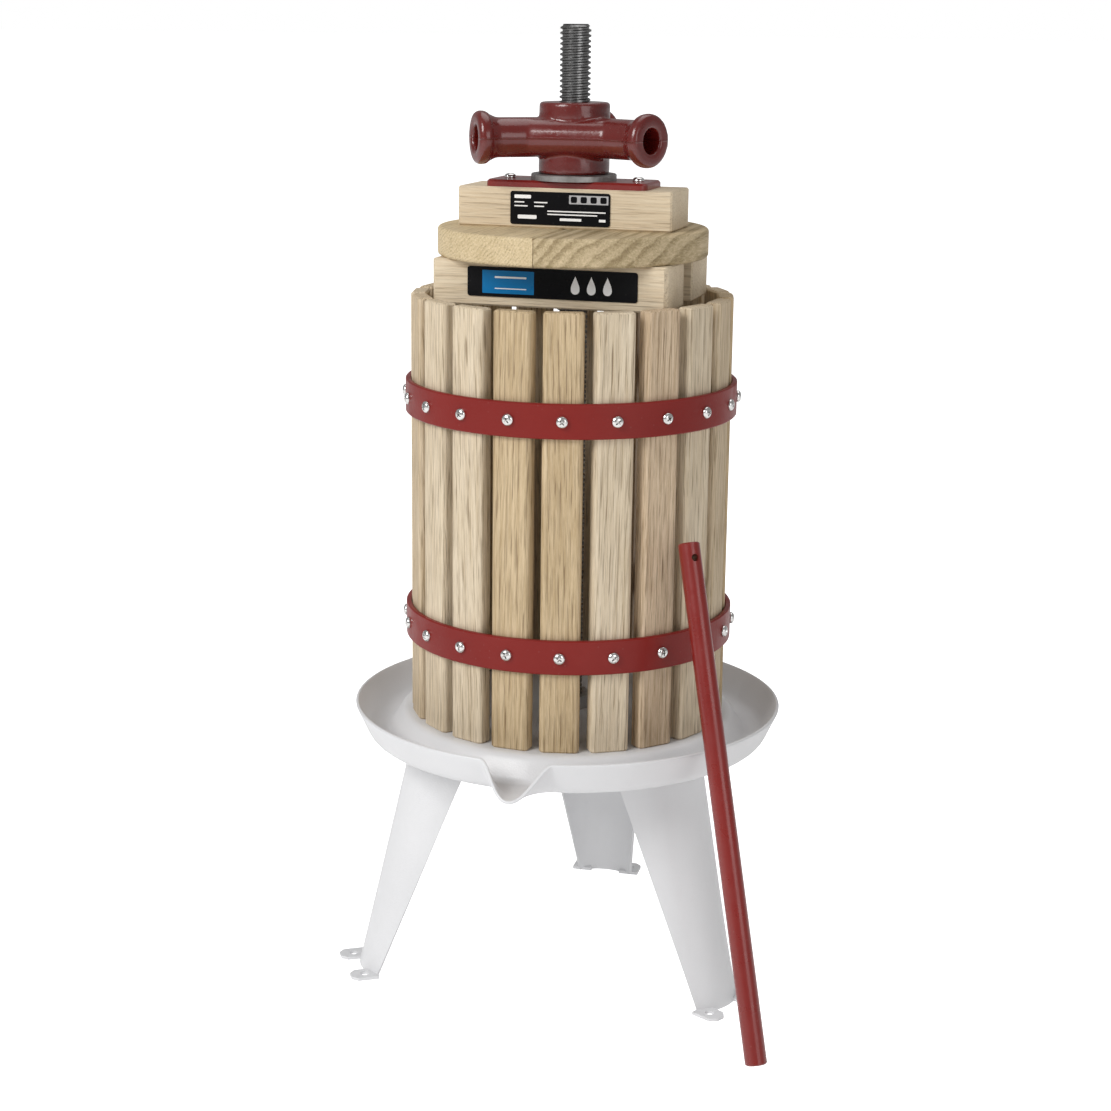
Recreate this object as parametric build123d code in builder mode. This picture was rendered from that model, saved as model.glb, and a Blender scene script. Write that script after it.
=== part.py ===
from build123d import *
import math
import os

# Apple cider press: a slatted oak basket on a three-legged steel stand, pressed by a cast nut that is
# wound down a fixed threaded spindle. Millimetres. The origin is on the floor, under the spindle.
# +Z is up and the pouring spout points along -Y.

os.makedirs("parts", exist_ok=True)


def save(piece, name):
    """Labels a finished piece and writes it as one STEP file."""
    piece.part.label = name
    export_step(piece.part, "parts/" + name + ".step")


def polar(radius, degrees):
    """The point at a radius and an angle from +X, seen from above."""
    angle = math.radians(degrees)
    return radius * math.cos(angle), radius * math.sin(angle)


def turned_plane(height, degrees, radius=0.0):
    """A level plane whose X axis points outwards at an angle, its origin that far from the spindle."""
    x, y = polar(radius, degrees)
    dx, dy = polar(1.0, degrees)
    return Plane(origin=(x, y, height), x_dir=(dx, dy, 0), z_dir=(0, 0, 1))


# ---- driving dimensions -------------------------------------------------------------------------

sheet = 2.0                # steel sheet of the pan and the legs
floor_height = 158.8       # pan floor under the basket
rim_height = 164.2         # pan rim
rim_radius = 130.5         # outside of the rim
plateau_radius = 101.0     # raised round floor that the basket stands on
gutter_height = 144.5      # inside bottom of the juice gutter

spindle_radius = 9.0       # 18 mm thread of 3 mm pitch, a plain bar at its crests here
spindle_top = 568.0
spindle_below = 18.0       # how far the threaded foot reaches under the pan floor
thread_clearance = 0.05    # between the spindle and the bore of a nut
clamp_washer_radius = 17.0
clamp_washer_thickness = 2.0
clamp_nut_flat = 13.5      # half the width across the flats
clamp_nut_corner = 15.2    # radius that the corners are turned down to
clamp_nut_under_height = 10.0
clamp_nut_top_height = 8.0

stave_count = 20
stave_width = 23.0
stave_thickness = 9.5
stave_length = 254.7
basket_radius = 95.0       # outer flat faces of the staves
stave_phase = 10.0         # first stave, in degrees from the spout
hoop_height = 20.0
hoop_inner = 95.5
hoop_outer = 98.7
hoop_bottoms = (48.1, 184.6)   # above the foot of the basket

stack_turn = -3.5          # the loose wood sits a little askew on the spindle
block_length = 140.0
block_width = 40.0
block_height = 26.0
block_gap = 10.5           # from the spindle's axis to each cross block
block_bottom = 410.0
basket_bore = 84.7         # everything that goes down the basket stays inside this radius
disc_radius = 79.5
disc_thickness = 16.6
top_length = 128.6
top_width = 41.5
top_height = 23.0
plate_length = 97.0
plate_width = 38.0
plate_thickness = 4.0
plate_screw_x = 39.0
wood_hole = 10.5           # radius of the spindle's hole through the wood and the plate

washer_radius = 25.0
washer_thickness = 3.5
nut_height = 41.0
nut_boss_radius = 21.0
nut_belt_radius = 25.0
arm_height = 21.0          # arm axis above the nut's foot
arm_radius = 11.5
arm_reach = 60.0
arm_angles = (90, 210, 330)
socket_radius = 7.0
socket_depth = 30.0
flange_radius = 15.0
flange_foot = 10.0         # where the flange starts to flare, back from the arm's end
flange_band = (7.0, 2.5)   # its widest part, from here to here, back from the arm's end

leg_angles = {"leg_back": 90, "leg_front_left": 210, "leg_front_right": 330}
foot_radius = 125.5        # side edges of a leg at the floor
leg_slope = 0.391          # how far a leg leans out for each millimetre down
foot_half_width = 18.4
leg_widening = 0.12        # gain in half width for each millimetre up
foot_bulge = 6.0           # how far the rolled sheet stands out between its edges, at the floor
leg_rolling = 0.15         # gain in that for each millimetre up
lug_offset = 16.1          # foot holes, sideways from the leg's centre line
lug_hole_radius = 2.75
bolt_circle = 133.5        # radius of the circle through the foot holes

lever_radius = 6.25
lever_top = Vector(85.0, -68.6, 282.5)
lever_foot = Vector(144.0, -147.0, 5.7)
hanging_hole_radius = 2.2
hanging_hole_back = 9.0    # from the top end

# ---- stand --------------------------------------------------------------------------------------

# Pan: one pressed sheet. A flat raised floor, a gutter around it and a slanted wall up to the rim.
pan_inside = [
    Vector(spindle_radius + 0.1, floor_height),
    Vector(plateau_radius, floor_height),
    Vector(plateau_radius + 9.0, gutter_height),
    Vector(rim_radius - 11.0, gutter_height),
    Vector(rim_radius - sheet, rim_height),
]
pan_bends = (7.0, 6.0, 9.0)


def beside(points, distance):
    """The corners of a line that runs a fixed distance to the right of the given one."""
    corners = []
    for i, point in enumerate(points):
        before = (point - points[i - 1]).normalized() if i > 0 else (points[1] - point).normalized()
        after = (points[i + 1] - point).normalized() if i + 1 < len(points) else before
        right = Vector(before.Y, -before.X) + Vector(after.Y, -after.X)
        corners.append(point + right * (2.0 * distance / right.dot(right)))
    return corners


pan_outside = beside(pan_inside, sheet)
outside_bends = (pan_bends[0] - sheet, pan_bends[1] + sheet, pan_bends[2] + sheet)
with BuildPart() as pan_shell:
    with BuildSketch(Plane.XZ):
        with BuildLine():
            FilletPolyline(*pan_inside, radius=pan_bends)
            FilletPolyline(*pan_outside, radius=outside_bends)
            Line(pan_inside[0], pan_outside[0])
            Line(pan_inside[-1], pan_outside[-1])
        make_face()
    revolve(axis=Axis.Z)

# The room above the pan's sheet, which the spout leaves clear.
with BuildPart() as pan_room:
    with BuildSketch(Plane.XZ):
        with BuildLine():
            FilletPolyline(*pan_inside, radius=pan_bends)
            Polyline(
                pan_inside[-1],
                (pan_inside[-1].X, rim_height + 20.0),
                (pan_inside[0].X, rim_height + 20.0),
                pan_inside[0],
            )
        make_face()
    revolve(axis=Axis.Z)

# Spout: the wall is drawn outwards into a trough whose lip dips from the rim to the gutter's level.
spout_root = -(rim_radius - 16.0)
spout_tip = -(rim_radius + 16.0)


def spout_section(y, half_width, bottom):
    """A round-bottomed trough section, open at the top, across the spout at y."""
    with BuildSketch(Plane(origin=(0, y, 0), x_dir=(1, 0, 0), z_dir=(0, -1, 0))) as section:
        with BuildLine():
            left = (-half_width, rim_height + 2.0)
            right = (half_width, rim_height + 2.0)
            Bezier(left, (-half_width, bottom - 1.0), (0, bottom), (half_width, bottom - 1.0), right)
            Line(right, left)
        make_face()
    return section.sketch


def trough(wall, floor):
    """The solid room of the spout, made larger by the sheet's thickness at its sides and floor."""
    root = spout_section(spout_root, 21.0 + wall, gutter_height - 1.6 - floor)
    tip = spout_section(spout_tip, 9.0 + wall, gutter_height - 1.6 - floor)
    return loft(Sketch() + [root, tip], mode=Mode.PRIVATE)


spout_room = trough(0.0, 0.0)
with BuildPart() as spout_shell:
    add(trough(sheet, sheet * 1.2))
    add(spout_room, mode=Mode.SUBTRACT)
    add(pan_room.part, mode=Mode.SUBTRACT)
    with BuildSketch(Plane.YZ):
        Polygon(
            (-rim_radius + 1.0, rim_height),
            (spout_tip - 1.0, gutter_height + 2.0),
            (spout_tip - 1.0, rim_height + 9.0),
            (spout_root + 9.0, rim_height + 9.0),
            (spout_root + 9.0, rim_height),
            align=None,
        )
    extrude(amount=40.0, both=True, mode=Mode.SUBTRACT)

with BuildPart() as pan:
    add(pan_shell.part)
    add(spout_room, mode=Mode.SUBTRACT)
    add(spout_shell.part)
save(pan, "pan")


# Legs: sheet rolled to a cone, wide and round under the pan, narrow and flat at the floor. Each is
# welded under the pan's raised floor.
def leg_section(degrees, height):
    """The curved band of sheet where a level plane cuts a leg."""
    edge = foot_radius - leg_slope * height
    half = foot_half_width + leg_widening * height
    bulge = foot_bulge + leg_rolling * height
    roll = (half**2 + bulge**2) / (2 * bulge)
    middle = edge + bulge - roll
    shrink = (roll - sheet) / roll
    inner_edge = middle + (edge - middle) * shrink
    with BuildSketch(turned_plane(height, degrees)) as section:
        with BuildLine():
            outer = ThreePointArc((edge, -half), (edge + bulge, 0), (edge, half))
            inner = ThreePointArc(
                (inner_edge, half * shrink), (edge + bulge - sheet, 0), (inner_edge, -half * shrink)
            )
            Line(outer @ 1, inner @ 0)
            Line(inner @ 1, outer @ 0)
        make_face()
    return section.sketch


lug_reach = 141.0
lug_root = 124.5
lug_width = 13.0
lug_corner = 3.5
hole_x = math.sqrt(bolt_circle**2 - lug_offset**2)
for name, degrees in leg_angles.items():
    with BuildPart() as leg:
        foot = leg_section(degrees, 0.0)
        head = leg_section(degrees, floor_height - sheet)
        add(loft(Sketch() + [foot, head], mode=Mode.PRIVATE))
        with BuildSketch(turned_plane(0.0, degrees)):
            for side in (-1, 1):
                edge_y = side * lug_offset
                Polygon(
                    (lug_root, edge_y - lug_width / 2),
                    (lug_reach - lug_corner, edge_y - lug_width / 2),
                    (lug_reach, edge_y - lug_width / 2 + lug_corner),
                    (lug_reach, edge_y + lug_width / 2 - lug_corner),
                    (lug_reach - lug_corner, edge_y + lug_width / 2),
                    (lug_root, edge_y + lug_width / 2),
                    align=None,
                )
            with Locations((hole_x, lug_offset), (hole_x, -lug_offset)):
                Circle(lug_hole_radius, mode=Mode.SUBTRACT)
        extrude(amount=sheet)
    save(leg, name)

# Spindle and what holds it: a nut and washer under the pan, a flat nut on top of it.
with BuildPart() as spindle:
    with BuildSketch(Plane.XY.offset(floor_height - spindle_below)):
        Circle(spindle_radius)
    extrude(amount=spindle_top - floor_height + spindle_below)
    chamfer(spindle.edges().group_by(Axis.Z)[-1], 1.2)
    chamfer(spindle.edges().group_by(Axis.Z)[0], 1.2)
save(spindle, "spindle")

washer_under_top = floor_height - sheet
with BuildPart() as clamp_washer:
    with BuildSketch(Plane.XY.offset(washer_under_top - clamp_washer_thickness)):
        Circle(clamp_washer_radius)
        Circle(spindle_radius + 0.4, mode=Mode.SUBTRACT)
    extrude(amount=clamp_washer_thickness)
save(clamp_washer, "clamp_washer")

nut_under_bottom = washer_under_top - clamp_washer_thickness - clamp_nut_under_height
clamp_nuts = {
    "clamp_nut_under": (nut_under_bottom, clamp_nut_under_height),
    "clamp_nut_top": (floor_height, clamp_nut_top_height),
}
for name, (bottom, height) in clamp_nuts.items():
    with BuildPart() as clamp_nut:
        with BuildSketch(Plane.XY.offset(bottom)):
            RegularPolygon(clamp_nut_flat, 6, major_radius=False)
            Circle(spindle_radius + thread_clearance, mode=Mode.SUBTRACT)
        extrude(amount=height)
        with BuildSketch(Plane.XY.offset(bottom)):
            Circle(clamp_nut_corner)
        extrude(amount=height, mode=Mode.INTERSECT)
    save(clamp_nut, name)

# ---- basket -------------------------------------------------------------------------------------

# Staves: oak slats with rounded edges, each with one screw hole behind each hoop.
screw_shank_radius = 1.95
screw_hole_radius = 2.05
screw_depth = 7.5          # into the stave
stave_angles = [270.0 + stave_phase + i * 360.0 / stave_count for i in range(stave_count)]
screw_heights = [floor_height + bottom + hoop_height / 2 for bottom in hoop_bottoms]


def radial_plane(degrees, radius, height):
    """A plane that faces outwards at a point beside the basket."""
    x, y = polar(radius, degrees)
    dx, dy = polar(1.0, degrees)
    return Plane(origin=(x, y, height), x_dir=(-dy, dx, 0), z_dir=(dx, dy, 0))


for i, degrees in enumerate(stave_angles):
    with BuildPart() as stave:
        with BuildSketch(turned_plane(floor_height, degrees, basket_radius - stave_thickness / 2)):
            Rectangle(stave_thickness, stave_width)
        extrude(amount=stave_length)
        face_out = stave.faces().sort_by_distance(Vector(*polar(200.0, degrees), floor_height + 127.0))[0]
        upright = stave.edges().filter_by(Axis.Z)
        outer_edges = [e for e in upright if (e @ 0.5).distance_to_plane(Plane(face_out)) < 0.1]
        inner_edges = [e for e in upright if (e @ 0.5).distance_to_plane(Plane(face_out)) > 1.0]
        fillet(outer_edges, 3.0)
        fillet(inner_edges, 1.5)
        chamfer(stave.faces().sort_by(Axis.Z)[-1].edges(), 1.0)
        chamfer(stave.faces().sort_by(Axis.Z)[0].edges(), 1.0)
        for height in screw_heights:
            with BuildSketch(radial_plane(degrees, basket_radius, height)):
                Circle(screw_hole_radius)
            extrude(amount=-screw_depth - 0.5, mode=Mode.SUBTRACT)
    save(stave, f"stave_{i + 1:02d}")

# Hoops: steel bands around the staves. Each is held by one pan-head screw for every stave.
head_radius = 3.5
head_height = 2.6
head_taper = 1.1           # the part of the head's height that slopes in
for name, bottom in zip(("lower", "upper"), hoop_bottoms):
    with BuildPart() as hoop:
        with BuildSketch(Plane.XY.offset(floor_height + bottom)):
            Circle(hoop_outer)
            Circle(hoop_inner, mode=Mode.SUBTRACT)
        extrude(amount=hoop_height)
        chamfer(hoop.edges().filter_by(GeomType.CIRCLE), 0.6)
        for degrees in stave_angles:
            hole_height = floor_height + bottom + hoop_height / 2
            with BuildSketch(radial_plane(degrees, hoop_inner - 1.0, hole_height)):
                Circle(screw_hole_radius)
            extrude(amount=hoop_outer - hoop_inner + 2.0, mode=Mode.SUBTRACT)
    save(hoop, f"hoop_{name}")

    with BuildPart() as screws:
        for degrees in stave_angles:
            seat = radial_plane(degrees, hoop_outer, floor_height + bottom + hoop_height / 2)
            shank = hoop_outer - basket_radius + screw_depth
            with BuildSketch(seat):
                Circle(screw_shank_radius)
            extrude(amount=-shank)
            with BuildSketch(seat):
                Circle(head_radius)
            extrude(amount=head_height - head_taper)
            with BuildSketch(seat.offset(head_height - head_taper)):
                Circle(head_radius)
            extrude(amount=head_taper, taper=45.0)
    save(screws, f"screws_{name}")

# ---- pressing stack -----------------------------------------------------------------------------


def stack_plane(height, x=0.0, y=0.0):
    """A level plane turned with the loose wood, its origin x and y away from the spindle."""
    dx, dy = polar(1.0, stack_turn)
    return Plane(origin=(dx * x - dy * y, dy * x + dx * y, height), x_dir=(dx, dy, 0), z_dir=(0, 0, 1))


# Cross blocks: two oak bars, one each side of the spindle, their outer corners trimmed to the basket.
for name, side in (("cross_block_front", -1), ("cross_block_rear", 1)):
    with BuildPart() as block:
        with BuildSketch(stack_plane(block_bottom, 0.0, side * (block_gap + block_width / 2))):
            Rectangle(block_length, block_width)
        extrude(amount=block_height)
        chamfer(block.edges(), 1.0)
        with BuildSketch(Plane.XY.offset(block_bottom)):
            Circle(basket_bore)
        extrude(amount=block_height, mode=Mode.INTERSECT)
    save(block, name)

# Pressing disc: two half-rounds of oak that meet on a line across the spindle.
disc_bottom = block_bottom + block_height
half_gap = 0.2
for name, side in (("disc_left", -1), ("disc_right", 1)):
    with BuildPart() as disc:
        with BuildSketch(stack_plane(disc_bottom)):
            Circle(disc_radius)
            with Locations((side * -100.0 + side * half_gap, 0)):
                Rectangle(200.0, 200.0, mode=Mode.SUBTRACT)
        extrude(amount=disc_thickness)
        fillet(disc.edges().group_by(Axis.Z)[-1], 2.0)
        fillet(disc.edges().group_by(Axis.Z)[0], 2.0)
        with BuildSketch(stack_plane(disc_bottom)):
            Circle(wood_hole)
        extrude(amount=disc_thickness, mode=Mode.SUBTRACT)
    save(disc, name)

# Top block: one oak bar across both halves, bored for the spindle.
top_bottom = disc_bottom + disc_thickness
plate_screw_depth = 12.0   # into the top block
with BuildPart() as top_block:
    with BuildSketch(stack_plane(top_bottom)):
        Rectangle(top_length, top_width)
    extrude(amount=top_height)
    chamfer(top_block.edges(), 1.0)
    with BuildSketch(stack_plane(top_bottom)):
        Circle(wood_hole)
    extrude(amount=top_height, mode=Mode.SUBTRACT)
    for x in (-plate_screw_x, plate_screw_x):
        with BuildSketch(stack_plane(top_bottom + top_height, x)):
            Circle(screw_hole_radius)
        extrude(amount=-plate_screw_depth - 0.5, mode=Mode.SUBTRACT)
save(top_block, "top_block")

# Pressure plate: painted steel, held to the top block by two screws.
plate_bottom = top_bottom + top_height
with BuildPart() as pressure_plate:
    with BuildSketch(stack_plane(plate_bottom)):
        RectangleRounded(plate_length, plate_width, 5.0)
        Circle(wood_hole, mode=Mode.SUBTRACT)
        with Locations((-plate_screw_x, 0), (plate_screw_x, 0)):
            Circle(screw_hole_radius, mode=Mode.SUBTRACT)
    extrude(amount=plate_thickness)
    chamfer(pressure_plate.faces().sort_by(Axis.Z)[-1].outer_wire().edges(), 1.2)
save(pressure_plate, "pressure_plate")

plate_top = plate_bottom + plate_thickness
with BuildPart() as plate_screws:
    for x in (-plate_screw_x, plate_screw_x):
        with BuildSketch(stack_plane(plate_top, x)):
            Circle(screw_shank_radius)
        extrude(amount=-plate_thickness - plate_screw_depth)
        with BuildSketch(stack_plane(plate_top, x)):
            Circle(head_radius)
        extrude(amount=head_height - head_taper)
        with BuildSketch(stack_plane(plate_top + head_height - head_taper, x)):
            Circle(head_radius)
        extrude(amount=head_taper, taper=45.0)
save(plate_screws, "plate_screws")

# Thrust washer between the plate and the nut.
with BuildPart() as thrust_washer:
    with BuildSketch(Plane.XY.offset(plate_top)):
        Circle(washer_radius)
        Circle(spindle_radius + 0.5, mode=Mode.SUBTRACT)
    extrude(amount=washer_thickness)
    chamfer(thrust_washer.edges().filter_by(GeomType.CIRCLE).group_by(Axis.Z)[-1], 0.5)
save(thrust_washer, "thrust_washer")

# Labels: thin printed plates stuck to the front faces of the front cross block and the top block.
label_thickness = 0.6


def label(name, center_x, face_y, center_height, length, height):
    """A thin plate with rounded corners, flat against an upright face of the stack."""
    origin = stack_plane(center_height, center_x, face_y)
    upright = Plane(origin=origin.origin, x_dir=origin.x_dir, z_dir=-origin.y_dir)
    with BuildPart() as plate:
        with BuildSketch(upright):
            RectangleRounded(length, height, 1.5)
        extrude(amount=label_thickness)
    save(plate, name)


label("label_front", 2.5, -block_gap - block_width, block_bottom + 14.0, 101.0, 17.0)
label("label_top", -2.0, -top_width / 2, top_bottom + 11.4, 60.0, 19.0)

# ---- nut ----------------------------------------------------------------------------------------

# Cast nut: a round boss with three hollow arms. The lever goes into any one of the arm sockets.
nut_bottom = plate_top + washer_thickness
arm_axis = nut_bottom + arm_height
with BuildPart() as nut:
    with BuildSketch(Plane.XZ):
        with BuildLine():
            Polyline(
                (0, nut_bottom),
                (nut_boss_radius, nut_bottom),
                (nut_boss_radius, arm_axis - 11.0),
                (nut_belt_radius, arm_axis - 7.0),
                (nut_belt_radius, arm_axis + 5.0),
                (nut_boss_radius, arm_axis + 9.0),
                (nut_boss_radius, nut_bottom + nut_height),
                (0, nut_bottom + nut_height),
                close=True,
            )
        make_face()
    revolve(axis=Axis.Z)
    for degrees in arm_angles:
        with BuildSketch(radial_plane(degrees, 0.0, arm_axis)):
            Circle(arm_radius)
        extrude(amount=arm_reach)
    chamfer(nut.faces().sort_by(Axis.Z)[-1].edges(), 1.2)
    for degrees in arm_angles:
        with BuildSketch(radial_plane(degrees, arm_reach - flange_foot, arm_axis)):
            Circle(arm_radius)
        with BuildSketch(radial_plane(degrees, arm_reach - flange_band[0], arm_axis)):
            Circle(flange_radius)
        loft()
        with BuildSketch(radial_plane(degrees, arm_reach - flange_band[0], arm_axis)):
            Circle(flange_radius)
        extrude(amount=flange_band[0] - flange_band[1])
        with BuildSketch(radial_plane(degrees, arm_reach - flange_band[1], arm_axis)):
            Circle(flange_radius)
        extrude(amount=flange_band[1], taper=40.0)
    for degrees in arm_angles:
        with BuildSketch(radial_plane(degrees, arm_reach, arm_axis)):
            Circle(socket_radius)
        extrude(amount=-socket_depth, mode=Mode.SUBTRACT)
    with BuildSketch(Plane.XY.offset(nut_bottom)):
        Circle(spindle_radius + thread_clearance)
    extrude(amount=nut_height, mode=Mode.SUBTRACT)
save(nut, "nut")

# ---- lever --------------------------------------------------------------------------------------

# Lever: a round steel bar, parked leaning against the basket, with a hanging hole near its top end.
reach = lever_top - lever_foot
lever_plane = Plane(origin=lever_foot, x_dir=reach.cross(Vector(0, 0, 1)), z_dir=reach)
with BuildPart() as lever:
    with BuildSketch(lever_plane):
        Circle(lever_radius)
    extrude(amount=reach.length)
    chamfer(lever.edges().filter_by(GeomType.CIRCLE), 0.8)
    hole_middle = lever_top - reach.normalized() * hanging_hole_back
    with BuildSketch(Plane(origin=hole_middle, x_dir=reach, z_dir=lever_plane.y_dir)):
        Circle(hanging_hole_radius)
    extrude(amount=lever_radius + 1.0, both=True, mode=Mode.SUBTRACT)
save(lever, "lever")
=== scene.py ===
import math
import random

import bmesh
import bpy
from mathutils import Matrix, Vector


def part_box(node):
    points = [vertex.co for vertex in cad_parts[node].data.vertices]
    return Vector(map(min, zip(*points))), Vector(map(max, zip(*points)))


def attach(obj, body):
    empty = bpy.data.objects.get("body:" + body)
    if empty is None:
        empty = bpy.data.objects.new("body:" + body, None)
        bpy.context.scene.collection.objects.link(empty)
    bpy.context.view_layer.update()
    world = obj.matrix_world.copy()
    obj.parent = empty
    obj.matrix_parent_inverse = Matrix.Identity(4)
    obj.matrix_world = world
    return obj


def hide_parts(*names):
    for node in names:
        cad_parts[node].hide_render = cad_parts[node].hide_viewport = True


# The looks of an apple cider press: an oak slat basket on a white steel stand, pressed by a cast nut
# that is wound down a fixed threaded spindle. Metres, standing on the floor, spout along -Y.
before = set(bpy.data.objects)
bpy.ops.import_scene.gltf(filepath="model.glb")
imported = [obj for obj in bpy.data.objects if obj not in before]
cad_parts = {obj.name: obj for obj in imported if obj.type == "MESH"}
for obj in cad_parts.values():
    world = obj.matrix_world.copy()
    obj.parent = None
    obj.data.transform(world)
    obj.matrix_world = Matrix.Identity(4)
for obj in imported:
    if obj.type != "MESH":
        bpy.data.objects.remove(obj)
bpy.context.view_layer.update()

# ---- floor, light and camera --------------------------------------------------------------------
# White studio floor under large soft lamps, the strongest from the front left. The floor glows: fully
# as the camera sees it, so that it burns out to white, and faintly as it lights the press.


def put(tree, kind, sockets={}, **options):
    """Adds a node. A socket takes a value or another node's output, an option is the node's own setting."""
    new = tree.nodes.new(kind)
    for option, value in options.items():
        setattr(new, option, value)
    for name, value in sockets.items():
        if isinstance(value, bpy.types.NodeSocket):
            tree.links.new(value, new.inputs[name])
        else:
            new.inputs[name].default_value = value
    return new


def math_of(tree, operation, a, b=0.0):
    """The result of one sum on two values."""
    new = put(tree, "ShaderNodeMath", {0: a, 1: b}, operation=operation)
    return new.outputs[0]


def spread(tree, value, low, high, to_low=0.0, to_high=1.0):
    """Stretches the range low..high of a value over to_low..to_high, and holds it there."""
    new = put(
        tree,
        "ShaderNodeMapRange",
        {"Value": value, "From Min": low, "From Max": high, "To Min": to_low, "To Max": to_high},
    )
    return new.outputs["Result"]


def blend(tree, amount, first, second, mode="MIX"):
    """Two colours mixed by an amount from 0 to 1."""
    new = put(tree, "ShaderNodeMix", data_type="RGBA", blend_type=mode)
    for slot, value in ((0, amount), (6, first), (7, second)):
        if isinstance(value, bpy.types.NodeSocket):
            tree.links.new(value, new.inputs[slot])
        else:
            new.inputs[slot].default_value = value
    return new.outputs[2]


floor_half = 60.0
floor_mesh = bpy.data.meshes.new("studio_floor")
floor_mesh.from_pydata(
    [(x * floor_half, y * floor_half, 0.0) for x, y in ((-1, -1), (1, -1), (1, 1), (-1, 1))],
    [],
    [(0, 1, 2, 3)],
)
studio_floor = bpy.data.objects.new("studio_floor", floor_mesh)
bpy.context.collection.objects.link(studio_floor)
floor_paper = bpy.data.materials.new("floor_paper")
floor_paper.use_nodes = True
paper = floor_paper.node_tree
paper_place = put(paper, "ShaderNodeTexCoord").outputs["Object"]
paper_noise = put(paper, "ShaderNodeTexNoise", {"Vector": paper_place, "Scale": 3.0, "Detail": 4.0})
paper_shader = paper.nodes["Principled BSDF"]
paper_tone = blend(paper, paper_noise.outputs["Fac"], (0.92, 0.92, 0.92, 1), (0.95, 0.95, 0.95, 1))
paper.links.new(paper_tone, paper_shader.inputs["Base Color"])
paper_shader.inputs["Roughness"].default_value = 0.8
paper_shader.inputs["Emission Color"].default_value = (1.0, 1.0, 1.0, 1)
paper_seen = put(paper, "ShaderNodeLightPath").outputs["Is Camera Ray"]
paper.links.new(spread(paper, paper_seen, 0.0, 1.0, 0.2, 1.0), paper_shader.inputs["Emission Strength"])
studio_floor.data.materials.append(floor_paper)

room = bpy.data.worlds.new("room")
room.use_nodes = True
glow = room.node_tree.nodes["Background"]
glow.inputs["Color"].default_value = (1.0, 1.0, 1.0, 1)
seen_directly = put(room.node_tree, "ShaderNodeLightPath").outputs["Is Camera Ray"]
room.node_tree.links.new(spread(room.node_tree, seen_directly, 0.0, 1.0, 0.30, 1.0), glow.inputs["Strength"])
bpy.context.scene.world = room
bpy.context.scene.view_settings.view_transform = "Standard"

aim = Vector((0.0, 0.0, 0.30))
lamps = {
    "key": ((-1.3, -1.9, 1.9), 1.3, 50.0),
    "fill": ((1.7, -1.5, 0.9), 1.2, 8.0),
    "top": ((0.1, 0.5, 2.1), 1.4, 9.0),
}
for lamp_name, (lamp_place, lamp_size, lamp_power) in lamps.items():
    lamp_data = bpy.data.lights.new(lamp_name, "AREA")
    lamp_data.size = lamp_size
    lamp_data.energy = lamp_power
    lamp = bpy.data.objects.new(lamp_name, lamp_data)
    lamp.location = lamp_place
    lamp.rotation_euler = (aim - Vector(lamp_place)).to_track_quat("-Z", "Y").to_euler()
    bpy.context.collection.objects.link(lamp)

camera_data = bpy.data.cameras.new("camera")
camera_data.sensor_width = 36.0
camera_data.lens = 71.8
camera_data.shift_x = 0.0233
camera_data.shift_y = -0.005
camera = bpy.data.objects.new("camera", camera_data)
camera.matrix_world = (
    Matrix.Translation((0.2895, -1.2772, 0.5729))
    @ Matrix.Rotation(math.radians(13.82), 4, "Z")
    @ Matrix.Rotation(math.radians(90.0 - 13.58), 4, "X")
    @ Matrix.Rotation(math.radians(0.504), 4, "Z")
)
bpy.context.collection.objects.link(camera)
bpy.context.scene.camera = camera

# ---- pan and legs -------------------------------------------------------------------------------
# The pan is one pressed steel sheet with a gutter, a slanted wall and a drawn spout; three rolled
# sheet legs are welded under it. All of it is powder coated white in one go, with a fine orange peel.


def effect(name, inputs, outputs):
    """Starts a shader node group. Gives its tree, its inputs' sockets and its output node."""
    tree = bpy.data.node_groups.new(name, "ShaderNodeTree")
    kinds = {"vector": "NodeSocketVector", "colour": "NodeSocketColor", "value": "NodeSocketFloat"}
    for socket, kind in inputs.items():
        tree.interface.new_socket(name=socket, in_out="INPUT", socket_type=kinds[kind])
    for socket, kind in outputs.items():
        tree.interface.new_socket(name=socket, in_out="OUTPUT", socket_type=kinds[kind])
    return tree, put(tree, "NodeGroupInput").outputs, put(tree, "NodeGroupOutput")


def finish_outputs(tree, ends, colour, roughness, height):
    """Joins a group's three results to its output node."""
    for socket, value in (("Colour", colour), ("Roughness", roughness), ("Height", height)):
        tree.links.new(value, ends.inputs[socket])


SURFACE = {"Colour": "colour", "Roughness": "value", "Height": "value"}

sprayed_paint, spray, spray_ends = effect(
    "sprayed_paint",
    dict(Place="vector", Paint="colour", Thin="colour", Peel="value", Matt="value", Nibs="value"),
    SURFACE,
)
cloud, peel, rubs = (
    put(sprayed_paint, "ShaderNodeTexNoise", {"Vector": spray["Place"], "Scale": size, "Detail": detail})
    for size, detail in ((14.0, 5.0), (spray["Peel"], 2.0), (75.0, 6.0))
)
dust = put(sprayed_paint, "ShaderNodeTexVoronoi", {"Vector": spray["Place"], "Scale": 210.0})
speck = spread(sprayed_paint, dust.outputs["Distance"], 0.05, 0.13, 1.0, 0.0)
nib = math_of(sprayed_paint, "MULTIPLY", speck, spray["Nibs"])
cloud_amount = spread(sprayed_paint, cloud.outputs["Fac"], 0.35, 0.7)
coat_colour = blend(sprayed_paint, cloud_amount, spray["Paint"], spray["Thin"])
dust_amount = math_of(sprayed_paint, "MULTIPLY", nib, 0.35)
coat_colour = blend(sprayed_paint, dust_amount, coat_colour, (0.6, 0.55, 0.5, 1))
rub_amount = spread(sprayed_paint, rubs.outputs["Fac"], 0.3, 0.75, -0.07, 0.11)
coat_rough = math_of(sprayed_paint, "ADD", spray["Matt"], rub_amount)
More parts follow.
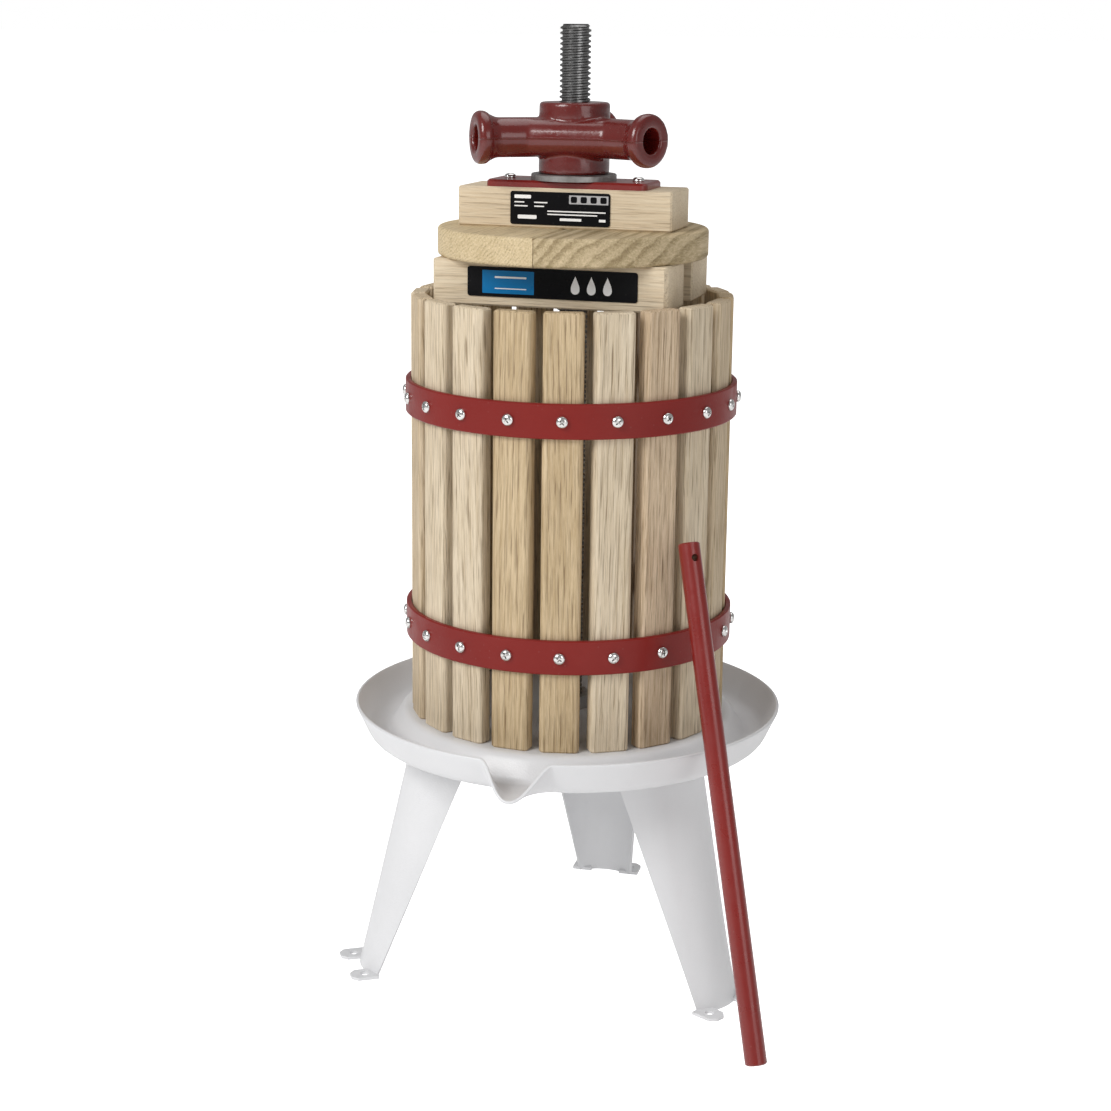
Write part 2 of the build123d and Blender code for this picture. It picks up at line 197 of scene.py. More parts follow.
coat_height = math_of(sprayed_paint, "ADD", peel.outputs["Fac"], math_of(sprayed_paint, "MULTIPLY", nib, 1.5))
finish_outputs(sprayed_paint, spray_ends, coat_colour, coat_rough, coat_height)


def finish(name, group, values, relief, places=(), **own):
    """A material whose colour, roughness and relief come from one effect, the rest from the shader itself.

    places holds the (location, rotation) steps that turn the object's place into the effect's.
    """
    material = bpy.data.materials.new(name)
    material.use_nodes = True
    tree = material.node_tree
    shader = tree.nodes["Principled BSDF"]
    place = put(tree, "ShaderNodeTexCoord").outputs["Object"]
    for location, rotation in places:
        step = put(tree, "ShaderNodeMapping", {"Vector": place, "Location": location, "Rotation": rotation})
        place = step.outputs["Vector"]
    film = put(tree, "ShaderNodeGroup", {}, node_tree=group)
    tree.links.new(place, film.inputs["Place"])
    for socket, value in values.items():
        film.inputs[socket].default_value = value
    relief_values = {"Height": film.outputs["Height"], "Distance": relief, "Strength": 1.0}
    bump = put(tree, "ShaderNodeBump", relief_values)
    tree.links.new(film.outputs["Colour"], shader.inputs["Base Color"])
    tree.links.new(film.outputs["Roughness"], shader.inputs["Roughness"])
    tree.links.new(bump.outputs["Normal"], shader.inputs["Normal"])
    for socket, value in own.items():
        shader.inputs[socket.replace("_", " ")].default_value = value
    return material


def dress(node, material):
    """Gives every material slot of a CAD node the same finish."""
    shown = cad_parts[node]
    for slot in shown.material_slots:
        slot.material = material
    if not shown.material_slots:
        shown.data.materials.append(material)


powder = {"Paint": (0.74, 0.74, 0.75, 1), "Thin": (0.705, 0.705, 0.715, 1)}
powder.update(Peel=900.0, Matt=0.40, Nibs=0.12)
white_powder = finish("white_powder_coat", sprayed_paint, powder, 0.00012, Coat_Weight=0.12)
for node in ("leg_back", "leg_front_left", "leg_front_right"):
    dress(node, white_powder)


def made_piece(name, mesh, material, body, nodes, soften=35.0):
    """Puts a new piece in the scene: its finish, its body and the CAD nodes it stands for."""
    mesh.materials.append(material)
    for face in mesh.polygons:
        face.use_smooth = True
    mesh.set_sharp_from_angle(angle=math.radians(soften))
    piece = bpy.data.objects.new(name, mesh)
    bpy.context.collection.objects.link(piece)
    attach(piece, body)
    if nodes:
        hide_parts(*nodes)
    return piece


def bent_line(corners, bends, steps):
    """The points of a line whose inner corners are rounded by these radii."""
    line = [corners[0]]
    for before, corner, after, bend in zip(corners, corners[1:], corners[2:], bends):
        back, on = (before - corner).normalized(), (after - corner).normalized()
        reach = bend / math.tan(back.angle(on) / 2.0)
        for k in range(steps + 1):
            t = k / steps
            line.append(corner + back * reach * (1 - t) ** 2 + on * reach * t**2)
    return line + [corners[-1]]


pan_floor = 0.1588
gutter_floor = 0.1445
wall_foot, rim = Vector((0.1195, gutter_floor)), Vector((0.1285, 0.1642))
pan_corners = [Vector((0.0091, pan_floor)), Vector((0.101, pan_floor)), Vector((0.110, gutter_floor))]
pan_corners += [wall_foot, rim]
pan_line = bent_line(pan_corners, (0.007, 0.006, 0.009), 6)
pan_line[-1:] = [pan_line[-2].lerp(rim, k / 4.0) for k in range(1, 5)]
spout_reach = 0.0180
lip_rise = 0.0022
spout_root = 0.1165
spout_half = math.radians(9.6)
turns = [-180.0 + 2.5 * k for k in range(64)]
turns += [-20.0 + 0.5 * k for k in range(80)]
turns += [20.0 + 2.5 * k for k in range(64)]
pan_points, pan_faces = [], []
for turn in turns:
    away = min(abs(math.radians(turn)) / spout_half, 1.0)
    drawn = 0.5 * (1.0 + math.cos(math.pi * away))
    side = math.radians(270.0 + turn)
    for point in pan_line:
        up_wall = min(max((point.x - spout_root) / (rim.x - spout_root), 0.0), 1.0)
        lip_reach = wall_foot.x + (rim.x + spout_reach - wall_foot.x) * up_wall
        lip = Vector((lip_reach, gutter_floor + lip_rise * up_wall))
        pressed = point.lerp(lip, drawn if up_wall > 0.0 else 0.0)
        pan_points.append((pressed.x * math.cos(side), pressed.x * math.sin(side), pressed.y))
pan_rings = len(pan_line)
for row in range(len(turns)):
    here, beside = row * pan_rings, (row + 1) % len(turns) * pan_rings
    for k in range(pan_rings - 1):
        pan_faces.append((here + k, here + k + 1, beside + k + 1, beside + k))


def loose(name, points, faces):
    """A working object that isn't shown in the end."""
    mesh = bpy.data.meshes.new(name)
    mesh.from_pydata(points, [], faces)
    holder = bpy.data.objects.new(name, mesh)
    bpy.context.collection.objects.link(holder)
    return holder


def drop(*holders):
    """Takes working objects away."""
    for holder in holders:
        bpy.data.objects.remove(holder, do_unlink=True)


def settled(holder):
    """The mesh of a working object with its modifiers applied. The working object goes away."""
    mesh = bpy.data.meshes.new_from_object(holder.evaluated_get(bpy.context.evaluated_depsgraph_get()))
    drop(holder)
    return mesh


pan_skin = loose("pan_skin", pan_points, pan_faces)
gauge = pan_skin.modifiers.new("gauge", "SOLIDIFY")
gauge.thickness = 0.002
gauge.offset = -1.0
gauge.use_even_offset = True
edge = pan_skin.modifiers.new("edge", "BEVEL")
edge.width = 0.0007
edge.segments = 3
edge.limit_method = "ANGLE"
edge.angle_limit = math.radians(60.0)
made_piece("pressed_pan", settled(pan_skin), white_powder, "stand", ["pan"], 50.0)

# ---- spindle ------------------------------------------------------------------------------------
# An 18 mm steel spindle with a right-hand thread of 3 mm pitch, cut on its whole length, oiled and
# not painted. It stands through the pan and doesn't turn.

plated_metal, plate_in, plate_ends = effect(
    "plated_metal",
    {"Place": "vector", "Bright": "colour", "Dull": "colour", "Streaks": "vector", "Matt": "value"},
    SURFACE,
)
streaked = {0: plate_in["Place"], 1: plate_in["Streaks"]}
streaked = put(plated_metal, "ShaderNodeVectorMath", streaked, operation="MULTIPLY").outputs[0]
brush = put(plated_metal, "ShaderNodeTexNoise", {"Vector": streaked, "Scale": 1.0, "Detail": 5.0})
bloom = put(plated_metal, "ShaderNodeTexNoise", {"Vector": plate_in["Place"], "Scale": 160.0, "Detail": 4.0})
metal_mix = math_of(
    plated_metal,
    "MULTIPLY",
    spread(plated_metal, brush.outputs["Fac"], 0.35, 0.65),
    spread(plated_metal, bloom.outputs["Fac"], 0.3, 0.7, 0.3, 1.0),
)
metal_colour = blend(plated_metal, metal_mix, plate_in["Bright"], plate_in["Dull"])
bloom_rough = spread(plated_metal, bloom.outputs["Fac"], 0.3, 0.7, -0.05, 0.1)
metal_rough = math_of(plated_metal, "ADD", plate_in["Matt"], bloom_rough)
finish_outputs(plated_metal, plate_ends, metal_colour, metal_rough, brush.outputs["Fac"])


thread_pitch = 0.003
thread_foot, thread_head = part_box("spindle")[0].z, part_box("spindle")[1].z
thread_form = ((0.0, 0.0090), (0.0009, 0.0090), (0.0015, 0.00765), (0.0024, 0.00765))
steps = 36
rows = int((thread_head - thread_foot) / thread_pitch * steps) + steps
thread_points = []
for row in range(rows):
    turn = 2.0 * math.pi * row / steps
    for rise, radius in thread_form:
        z = thread_foot - thread_pitch + thread_pitch * row / steps + rise
        z = min(max(z, thread_foot), thread_head)
        radius = min(radius, 0.0071 + (thread_head - z), 0.0071 + (z - thread_foot))
        thread_points.append((radius * math.cos(turn), radius * math.sin(turn), z))
form = len(thread_form)
thread_faces = []
for row in range(rows - 1):
    for k in range(form):
        here = row * form + k
        above = here + 1 if k + 1 < form else (row + steps) * form
        if above + form < len(thread_points):
            thread_faces.append((here, here + form, above + form, above))
for z, winding in ((thread_foot, -1), (thread_head, 1)):
    ring = [
        (0.0076 * math.cos(winding * a), 0.0076 * math.sin(winding * a), z)
        for a in [2.0 * math.pi * i / steps for i in range(steps)]
    ]
    thread_faces.append(tuple(range(len(thread_points), len(thread_points) + steps)))
    thread_points += ring
thread_mesh = bpy.data.meshes.new("spindle_thread")
thread_mesh.from_pydata(thread_points, [], thread_faces)
oiled = {"Bright": (0.27, 0.27, 0.27, 1), "Dull": (0.12, 0.115, 0.11, 1)}
oiled.update(Streaks=(900.0, 900.0, 900.0), Matt=0.28)
oiled_steel = finish("oiled_steel", plated_metal, oiled, 0.00004, Metallic=1.0)
made_piece("spindle_thread", thread_mesh, oiled_steel, "stand", ["spindle"])

# Clamp nuts and washer: plain zinc plated hardware that holds the spindle's foot in the pan.
zinc = {"Bright": (0.62, 0.62, 0.61, 1), "Dull": (0.42, 0.41, 0.40, 1)}
zinc.update(Streaks=(300.0, 300.0, 40.0), Matt=0.33)
zinc_plate = finish("zinc_plate", plated_metal, zinc, 0.00004, Metallic=0.9)
for node in ("clamp_washer", "clamp_nut_under", "clamp_nut_top"):
    dress(node, zinc_plate)

# ---- basket -------------------------------------------------------------------------------------
# Twenty oak slats, planed and left bare, with rounded edges. Each is cut from its own board, so its
# tone, its rings and its grain are its own.

oak, oak_in, oak_ends = effect(
    "oak",
    dict(Place="vector", Pale="colour", Dark="colour", Ring="value", Bands="value", Depth="value"),
    SURFACE,
)


def vector_of(operation, a, b):
    """The result of one sum on two places inside the oak effect."""
    return put(oak, "ShaderNodeVectorMath", {0: a, 1: b}, operation=operation).outputs[0]


def along_grain(squeeze, size, detail, rough=0.5):
    """Noise drawn out along the board's Z."""
    place = vector_of("MULTIPLY", oak_in["Place"], (1.0, 1.0, squeeze))
    values = {"Vector": place, "Scale": size, "Detail": detail, "Roughness": rough}
    return put(oak, "ShaderNodeTexNoise", values)


wander = along_grain(0.12, 34.0, 3.0)
drift = vector_of("SUBTRACT", wander.outputs["Color"], (0.5, 0.5, 0.5))
drift = vector_of("MULTIPLY", drift, (0.014, 0.014, 0.0))
across = vector_of("MULTIPLY", vector_of("ADD", oak_in["Place"], drift), (1.0, 1.0, 0.0))
girth = put(oak, "ShaderNodeVectorMath", {0: across}, operation="LENGTH").outputs["Value"]
year = math_of(oak, "FRACT", math_of(oak, "DIVIDE", girth, oak_in["Ring"]))
early = math_of(oak, "MAXIMUM", spread(oak, year, 0.0, 0.5, 1.0, 0.0), spread(oak, year, 0.85, 1.0))
patchy = spread(oak, along_grain(0.3, 160.0, 2.0).outputs["Fac"], 0.3, 0.65, 0.35, 1.0)
early = math_of(oak, "MULTIPLY", early, patchy)
streak = spread(oak, along_grain(0.032, 800.0, 5.0, 0.75).outputs["Fac"], 0.37, 0.63)
fuzz = spread(oak, along_grain(0.10, 2600.0, 2.0, 0.6).outputs["Fac"], 0.3, 0.7)
pore_noise = spread(oak, along_grain(0.035, 1300.0, 1.0).outputs["Fac"], 0.50, 0.62)
pore_share = math_of(oak, "ADD", math_of(oak, "MULTIPLY", early, 0.65), 0.25)
pore = math_of(oak, "MULTIPLY", pore_noise, pore_share)
board = spread(oak, along_grain(0.2, 60.0, 3.0).outputs["Fac"], 0.3, 0.7, -0.2, 0.22)
darkness = math_of(oak, "MULTIPLY", early, oak_in["Bands"])
darkness = math_of(oak, "ADD", darkness, math_of(oak, "MULTIPLY", streak, 0.62))
darkness = math_of(oak, "ADD", darkness, math_of(oak, "MULTIPLY", fuzz, 0.22))
darkness = math_of(oak, "ADD", darkness, board)
oak_colour = blend(oak, spread(oak, darkness, 0.0, 1.0), oak_in["Pale"], oak_in["Dark"])
pore_amount = math_of(oak, "MULTIPLY", pore, oak_in["Depth"])
oak_colour = blend(oak, pore_amount, oak_colour, (0.14, 0.085, 0.042, 1))
oak_rough = spread(oak, streak, 0.0, 1.0, 0.52, 0.72)
oak_height = math_of(oak, "SUBTRACT", math_of(oak, "MULTIPLY", streak, 0.35), pore)
finish_outputs(oak, oak_ends, oak_colour, oak_rough, oak_height)


def oak_board(name, places, pale, dark, ring, bands=0.3, depth=0.8):
    """Bare planed oak. The last step of places brings the tree's middle to the origin, its grain along Z."""
    values = {"Pale": (*pale, 1), "Dark": (*dark, 1), "Ring": ring, "Bands": bands, "Depth": depth}
    return finish(name, oak, values, 0.00022, places, Specular_IOR_Level=0.35)


slats = 20
slat_radius = 0.095
first_slat = 280.0
straw, cream, honey, rose = (
    ((0.70, 0.575, 0.41), (0.47, 0.355, 0.215)),
    ((0.76, 0.65, 0.49), (0.55, 0.44, 0.295)),
    ((0.66, 0.515, 0.325), (0.42, 0.30, 0.16)),
    ((0.69, 0.545, 0.385), (0.41, 0.29, 0.175)),
)
slat_tones = [honey, cream, rose, cream, straw, honey, straw, cream, straw, rose]
slat_tones += [cream, straw, honey, cream, straw, cream, straw, cream, cream, honey]
chance = random.Random(6)
for i in range(slats):
    around = math.radians(first_slat + i * 360.0 / slats)
    heart = math.radians(chance.uniform(25.0, 80.0)) * chance.choice((-1, 1))
    far = chance.uniform(0.05, 0.13)
    lean = (math.radians(chance.uniform(-1.2, 1.2)), math.radians(chance.uniform(-1.2, 1.2)), 0.0)
    to_slat = ((-slat_radius, 0.0, chance.uniform(-0.5, 0.5)), (0.0, 0.0, -around))
    to_heart = ((far * math.cos(heart), far * math.sin(heart), 0.0), lean)
    pale, dark = slat_tones[i]
    lift = chance.uniform(0.95, 1.05)
    slat_oak = oak_board(
        f"slat_oak_{i + 1:02d}",
        (to_slat, to_heart),
        [lift * c for c in pale],
        [lift * c for c in dark],
        chance.uniform(0.0016, 0.0034),
    )
    dress(f"stave_{i + 1:02d}", slat_oak)

# Hoops: two bands of flat steel, rolled, welded and sprayed maroon before they go round the slats.
maroon = {"Paint": (0.195, 0.009, 0.006, 1), "Thin": (0.225, 0.013, 0.009, 1)}
maroon.update(Peel=520.0, Matt=0.36, Nibs=0.12)
band_paint = finish("band_enamel", sprayed_paint, maroon, 0.00008, Specular_IOR_Level=0.3)
for node in ("hoop_lower", "hoop_upper"):
    dress(node, band_paint)

# Hoop screws: bright pan-head wood screws with a cross recess, one into each slat at each hoop, every
# one stopped at its own angle.


def lathe(profile, segments):
    """Points and faces of a closed solid turned about Z from (radius, height) pairs, foot to head."""
    points, faces = [], []
    for radius, height in profile:
        for k in range(segments):
            turn = 2.0 * math.pi * k / segments
            points.append((radius * math.cos(turn), radius * math.sin(turn), height))
    for row in range(len(profile) - 1):
        for k in range(segments):
            here, side = row * segments + k, row * segments + (k + 1) % segments
            faces.append((here, side, side + segments, here + segments))
    faces.append(tuple(reversed(range(segments))))
    faces.append(tuple(range(len(points) - segments, len(points))))
    return points, faces


def cut(solid, cutter):
    """The mesh of a solid with a cutter's room taken out of it."""
    knife = solid.modifiers.new("cut", "BOOLEAN")
    knife.object = cutter
    knife.operation = "DIFFERENCE"
    knife.solver = "EXACT"
    seen = solid.evaluated_get(bpy.context.evaluated_depsgraph_get())
    mesh = bpy.data.meshes.new_from_object(seen)
    solid.modifiers.remove(knife)
    return mesh


head_form = [
    (0.0019, -0.0070), (0.0019, 0.0), (0.0034, 0.0), (0.0035, 0.0004), (0.0034, 0.0011),
    (0.0030, 0.0018), (0.0022, 0.0023), (0.0012, 0.00255), (0.0004, 0.0026),
]
blank_head = loose("blank_head", *lathe(head_form, 28))
recess_points, recess_faces = [], []
for long_way in (0, 1):
    base = len(recess_points)
    for half_long, half_short, height in ((0.0007, 0.00025, 0.0006), (0.0023, 0.00045, 0.0032)):
        for sx, sy in ((-1, -1), (1, -1), (1, 1), (-1, 1)):
            x, y = sx * half_long, sy * half_short
            recess_points.append((y, x, height) if long_way else (x, y, height))
    quads = [(3, 2, 1, 0), (4, 5, 6, 7), (0, 1, 5, 4), (1, 2, 6, 5), (2, 3, 7, 6), (3, 0, 4, 7)]
    for quad in quads:
        order = tuple(reversed(quad)) if long_way else quad
        recess_faces.append(tuple(base + corner for corner in order))
half_count = len(recess_points) // 2
first_bar = loose("first_bar", recess_points[:half_count], recess_faces[:6])
second_faces = [tuple(corner - half_count for corner in face) for face in recess_faces[6:]]
second_bar = loose("second_bar", recess_points[half_count:], second_faces)
half_cut = loose("half_cut", [], [])
half_cut.data = cut(blank_head, first_bar)
screw_mesh = cut(half_cut, second_bar)
drop(blank_head, first_bar, second_bar, half_cut)

chrome = {"Bright": (0.86, 0.85, 0.84, 1), "Dull": (0.62, 0.60, 0.58, 1)}
chrome.update(Streaks=(700.0, 700.0, 700.0), Matt=0.16)
bright_chrome = finish("bright_plate", plated_metal, chrome, 0.00003, Metallic=1.0)


def screw_set(name, seats, body, node):
    """One mesh of many screws, each seated by a matrix with the head along its own Z."""
    joined = bmesh.new()
    for seat in seats:
        screw = bmesh.new()
        screw.from_mesh(screw_mesh)
        screw.transform(seat)
        placed = bpy.data.meshes.new("placed")
        screw.to_mesh(placed)
        screw.free()
        joined.from_mesh(placed)
        bpy.data.meshes.remove(placed)
    mesh = bpy.data.meshes.new(name)
    joined.to_mesh(mesh)
    joined.free()
    return made_piece(name, mesh, bright_chrome, body, [node], 40.0)


for level in ("lower", "upper"):
    low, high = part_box(f"hoop_{level}")
    hoop_radius, hoop_middle = (high.x - low.x) / 2.0, (low.z + high.z) / 2.0
    seats = []
    for i in range(slats):
        around = math.radians(first_slat + i * 360.0 / slats)
        seats.append(
            Matrix.Translation((hoop_radius * math.cos(around), hoop_radius * math.sin(around), hoop_middle))
            @ Matrix.Rotation(around, 4, "Z")
            @ Matrix.Rotation(math.pi / 2.0, 4, "Y")
            @ Matrix.Rotation(chance.uniform(0.0, math.pi / 2.0), 4, "Z")
        )
    screw_set(f"hoop_screws_{level}", seats, "basket", f"screws_{level}")

# ---- pressing wood ------------------------------------------------------------------------------
# Two cross blocks, two half-discs and a top block, all bare oak. The blocks' grain runs along them;
# the half-discs' grain runs front to back, so their front edges show end grain.
stack_turn = math.radians(-3.5)
untwist = ((0.0, 0.0, 0.0), (0.0, 0.0, -stack_turn))
lengthwise = (0.0, -math.pi / 2.0, 0.0)
crosswise = (math.pi / 2.0, 0.0, 0.0)
block_tone = ((0.78, 0.665, 0.49), (0.64, 0.51, 0.345))
boards = {
    "cross_block_front": (lengthwise, (0.46, 0.10, 0.3), block_tone, 0.0021, 0.2),
    "cross_block_rear": (lengthwise, (0.50, -0.09, 0.9), block_tone, 0.0026, 0.2),
    "top_block": (lengthwise, (0.54, 0.085, 1.7), block_tone, 0.0018, 0.25),
    "disc_left": (crosswise, (0.11, 0.52, 0.2), ((0.75, 0.61, 0.39), (0.52, 0.40, 0.22)), 0.0019, 0.3),
    "disc_right": (crosswise, (0.11, 0.594, 0.6), ((0.66, 0.53, 0.335), (0.35, 0.265, 0.14)), 0.0068, 0.8),
}
for node, (grain, heart, (pale, dark), ring, bands) in boards.items():
    dress(node, oak_board(f"{node}_oak", (untwist, (heart, grain)), pale, dark, ring, bands, 0.45))

# Pressure plate: flat steel, sprayed maroon like the hoops, held by two of the same screws.
plate_paint = finish("plate_enamel", sprayed_paint, maroon, 0.0001, Coat_Weight=0.4, Coat_Roughness=0.15)
dress("pressure_plate", plate_paint)
plate_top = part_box("pressure_plate")[1].z
plate_seats = []
for x, stop in ((-0.039, 0.3), (0.039, 1.1)):
    seat_place = Matrix.Rotation(stack_turn, 4, "Z") @ Vector((x, 0.0, plate_top))
    plate_seats.append(Matrix.Translation(seat_place) @ Matrix.Rotation(stop, 4, "Z"))
screw_set("plate_screw_pair", plate_seats, "press_stack", "plate_screws")

# Thrust washer: a loose steel ring, dull zinc, with fine turned marks where the nut rubs.
rubbed = {"Bright": (0.36, 0.35, 0.34, 1), "Dull": (0.24, 0.23, 0.22, 1)}
rubbed.update(Streaks=(500.0, 500.0, 500.0), Matt=0.42)
dress("thrust_washer", finish("rubbed_zinc", plated_metal, rubbed, 0.00004, Metallic=0.85))

# Labels: printed plastic film, black with plain fields and bars, stuck to the two front faces.
film = {"Paint": (0.006, 0.006, 0.007, 1), "Thin": (0.010, 0.010, 0.011, 1)}
film.update(Peel=1500.0, Matt=0.3, Nibs=0.05)
black_film = finish("black_film", sprayed_paint, film, 0.00003, Specular_IOR_Level=0.06)
for node in ("label_front", "label_top"):
    dress(node, black_film)


def ink(name, colour):
    """Printing ink on the label film."""
    worn = [0.93 * c for c in colour]
    values = {"Paint": (*colour, 1), "Thin": (*worn, 1), "Peel": 1500.0, "Matt": 0.32, "Nibs": 0.0}
    return finish(name, sprayed_paint, values, 0.00002, Specular_IOR_Level=0.2)


def rounded(x, z, width, height, corner=0.0004):
    """The outline of a rounded field, from its left foot corner."""
    outline = []
    for cx, cz, start in (
        (x + width - corner, z + corner, -90), (x + width - corner, z + height - corner, 0),
        (x + corner, z + height - corner, 90), (x + corner, z + corner, 180),
    ):
        for k in range(5):
            turn = math.radians(start + 22.5 * k)
            outline.append((cx + corner * math.cos(turn), cz + corner * math.sin(turn)))
    return outline


def droplet(x, z, size):
    """The outline of a juice drop with its point up."""
    outline = []
    for k in range(24):
        turn = 2.0 * math.pi * k / 24
        pinch = math.sin(turn / 2.0) ** 1.6
        outline.append((x + 0.36 * size * math.sin(turn) * pinch * -1.0, z + 0.5 * size * math.cos(turn)))
    return outline


def print_on(label, name, outlines, material, lift):
    """Thin raised shapes of ink on a label's face. Outlines are in metres from the label's middle."""
    low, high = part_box(label)
    middle = (low + high) / 2.0
    across = Matrix.Rotation(stack_turn, 4, "Z")
    face = Vector((0.0, -0.0003 - lift, 0.0))
    joined = bmesh.new()
    for outline in outlines:
        corners = [joined.verts.new(middle + across @ (Vector((x, 0.0, z)) + face)) for x, z in outline]
        joined.faces.new(corners)
    mesh = bpy.data.meshes.new(name)
    bmesh.ops.recalc_face_normals(joined, faces=joined.faces)
    joined.normal_update()
    for patch in joined.faces:
        if patch.normal.y > 0:
            patch.normal_flip()
    joined.to_mesh(mesh)
    joined.free()
    return made_piece(name, mesh, material, "press_stack", [])


white_ink = ink("white_ink", (0.97, 0.97, 0.97))
blue_ink = ink("blue_ink", (0.003, 0.19, 0.48))
grey_ink = ink("grey_ink", (0.45, 0.45, 0.46))
blue_field = [rounded(-0.0415, -0.0066, 0.031, 0.0132, 0.0003)]
print_on("label_front", "label_front_field", blue_field, blue_ink, 0.00004)
print_on(
    "label_front",
    "label_front_shapes",
    [rounded(-0.034, 0.0022, 0.019, 0.0011, 0.0003), rounded(-0.034, -0.0040, 0.019, 0.0006, 0.0002)]
    + [droplet(x, 0.0, 0.0105) for x in (0.014, 0.0235, 0.033)],
    white_ink,
    0.00008,
)
small_bars = [rounded(-0.0275, 0.0055, 0.010, 0.0020, 0.0004)]
small_bars += [rounded(-0.0275, z, w, 0.0007, 0.0002) for z, w in ((0.0030, 0.006), (0.0008, 0.008))]
small_bars += [rounded(-0.0155, z, w, 0.0007, 0.0002) for z, w in ((0.0030, 0.008), (0.0008, 0.006))]
small_bars += [rounded(-0.0075, z, w, 0.0007, 0.0002) for z, w in ((-0.0018, 0.035), (-0.0036, 0.030))]
small_bars += [rounded(0.0, -0.0068, 0.013, 0.0015, 0.0003), rounded(0.0235, -0.0068, 0.004, 0.0015, 0.0003)]
small_bars += [rounded(-0.0255, -0.0062, 0.0115, 0.0022, 0.0006)]
print_on("label_top", "label_top_bars", small_bars, white_ink, 0.00004)
print_on("label_top", "label_top_field", [rounded(0.0055, 0.0030, 0.0235, 0.0050, 0.0003)], grey_ink, 0.00004)
print_on(
    "label_top",
    "label_top_marks",
    [rounded(x, 0.0037, 0.0038, 0.0036, 0.0009) for x in (0.0065, 0.0124, 0.0183, 0.0242)],
    black_film,
    0.00008,
)

# ---- nut ----------------------------------------------------------------------------------------
# Sand-cast iron, one boss with a belt and three hollow arms that end in rolled rims, its edges soft and
# its parting line left on. It is sprayed maroon all over and has the most gloss.
nut_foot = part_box("nut")[0].z
nut_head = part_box("nut")[1].z
arm_middle = nut_foot + 0.021
boss_form = [(0.0204, nut_foot), (0.0207, nut_foot + 0.0012), (0.0207, arm_middle - 0.0115)]
belt_steps = 12
for k in range(belt_steps + 1):
    lean = math.radians(-62.0 + 124.0 * k / belt_steps)
    boss_form.append((0.0140 + 0.0112 * math.cos(lean), arm_middle + 0.0112 * math.sin(lean)))
boss_form += [(0.0207, arm_middle + 0.0115), (0.0205, nut_head - 0.0012), (0.0196, nut_head)]
arm_form = [(0.0115, 0.0), (0.0115, 0.0470), (0.0122, 0.0495), (0.0130, 0.0505), (0.0132, 0.0520)]
arm_form += [(0.0150, 0.0535), (0.0153, 0.0555), (0.0153, 0.0580), (0.0142, 0.0597), (0.0125, 0.0602)]
arm_form += [(0.0080, 0.0602), (0.0071, 0.0592), (0.0070, 0.0300)]
cast_points, cast_faces = lathe(boss_form, 72)
arm_points, arm_faces = lathe(arm_form, 48)
for degrees in (90, 210, 330):
    out = math.radians(degrees)
    stand_out = (
        Matrix.Translation((0.012 * math.cos(out), 0.012 * math.sin(out), arm_middle))
        @ Matrix.Rotation(out, 4, "Z")
        @ Matrix.Rotation(math.pi / 2.0, 4, "Y")
    )
    start = len(cast_points)
    for point in arm_points:
        shifted = Vector(point)
        shifted.z = max(shifted.z - 0.012, 0.0)
        cast_points.append(stand_out @ shifted)
    cast_faces += [tuple(start + corner for corner in face) for face in arm_faces]
web_reach = 0.030
for degrees in (30, 150, 270):
    out = math.radians(degrees)
    web_points, web_faces = lathe([(0.0108, -0.026), (0.0108, 0.026)], 40)
    lie_across = (
        Matrix.Translation((0.5 * web_reach * math.cos(out), 0.5 * web_reach * math.sin(out), arm_middle))
        @ Matrix.Rotation(out, 4, "Z")
        @ Matrix.Rotation(math.pi / 2.0, 4, "X")
    )
    start = len(cast_points)
    cast_points += [lie_across @ Vector(point) for point in web_points]
    cast_faces += [tuple(start + corner for corner in face) for face in web_faces]
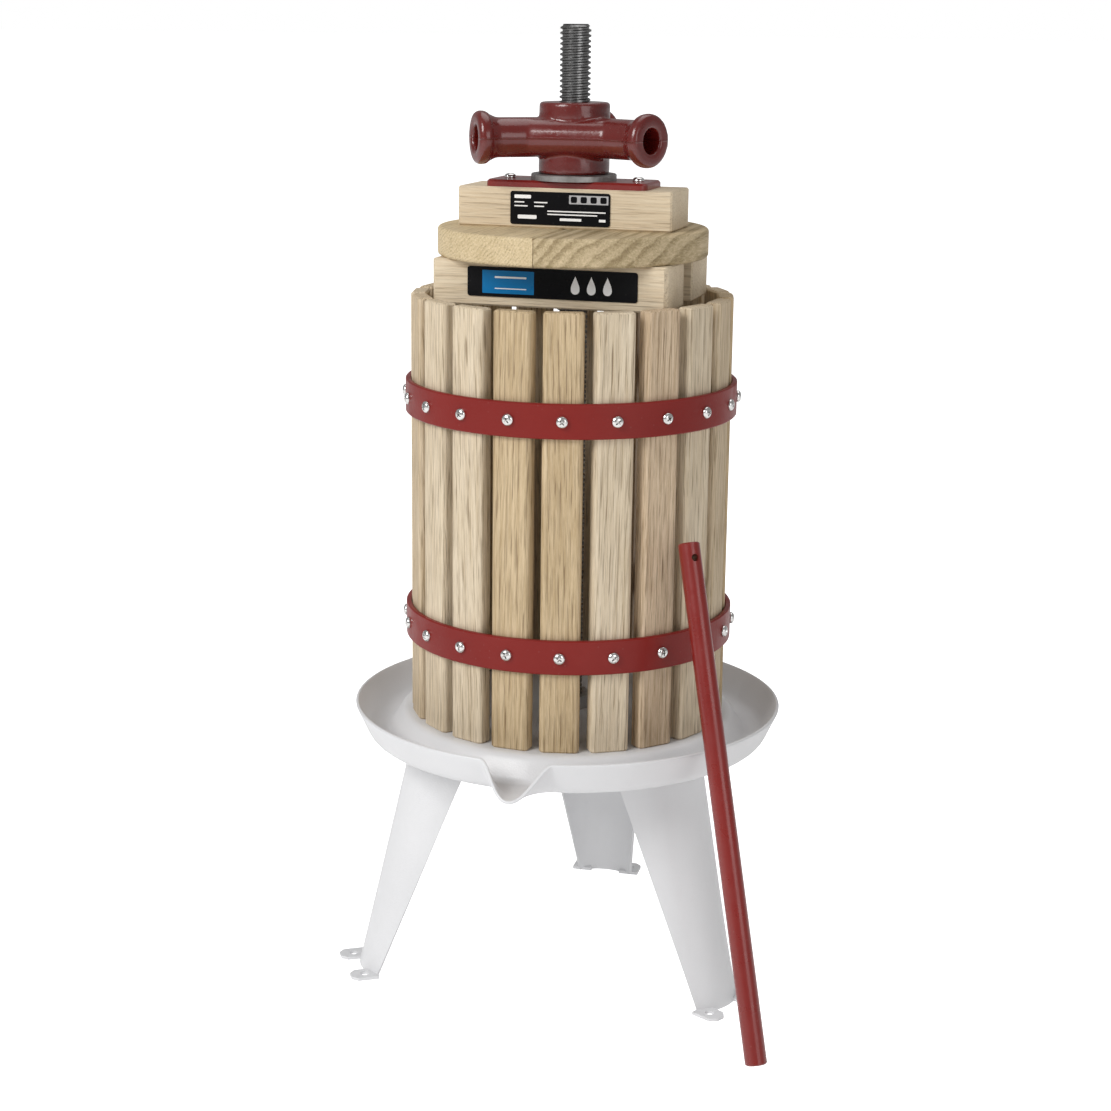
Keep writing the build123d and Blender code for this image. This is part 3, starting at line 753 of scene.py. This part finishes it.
cast_blank = loose("cast_blank", cast_points, cast_faces)
skin = cast_blank.modifiers.new("skin", "REMESH")
skin.mode = "VOXEL"
skin.voxel_size = 0.0009
ease = cast_blank.modifiers.new("ease", "SMOOTH")
ease.factor = 0.5
ease.iterations = 9
nut_mesh = settled(cast_blank)
bore_points, bore_faces = lathe([(0.0093, nut_foot - 0.001), (0.0093, nut_head + 0.001)], 48)
bore = loose("bore", bore_points, bore_faces)
solid_nut = loose("solid_nut", [], [])
solid_nut.data = nut_mesh
nut_mesh = cut(solid_nut, bore)
drop(bore, solid_nut)
cast_maroon = dict(maroon, Paint=(0.115, 0.007, 0.005, 1), Thin=(0.145, 0.010, 0.007, 1))
cast_maroon.update(Peel=330.0, Matt=0.24)
nut_paint = finish("cast_enamel", sprayed_paint, cast_maroon, 0.00016, Coat_Weight=0.5, Coat_Roughness=0.1)
# The two halves of the mould leave a fine ridge round the nut at the middle of its arms.
nodes = nut_paint.node_tree
film_node = next(node for node in nodes.nodes if node.bl_idname == "ShaderNodeGroup")
bump_node = next(node for node in nodes.nodes if node.bl_idname == "ShaderNodeBump")
nut_place = put(nodes, "ShaderNodeTexCoord").outputs["Object"]
nut_height = put(nodes, "ShaderNodeSeparateXYZ", {0: nut_place}).outputs["Z"]
off_line = math_of(nodes, "ABSOLUTE", math_of(nodes, "SUBTRACT", nut_height, arm_middle))
ridge = math_of(nodes, "MULTIPLY", spread(nodes, off_line, 0.0, 0.0007, 1.0, 0.0), 2.5)
nodes.links.new(math_of(nodes, "ADD", film_node.outputs["Height"], ridge), bump_node.inputs["Height"])
made_piece("cast_nut", nut_mesh, nut_paint, "nut", ["nut"], 60.0)

# ---- lever --------------------------------------------------------------------------------------
# A round steel bar, sprayed maroon, with a small hole across it near the top end. It is parked leaning
# against the basket.
bar_maroon = dict(maroon, Peel=420.0, Matt=0.3)
bar_paint = finish("bar_enamel", sprayed_paint, bar_maroon, 0.0001, Coat_Weight=0.35, Coat_Roughness=0.2)
dress("lever", bar_paint)
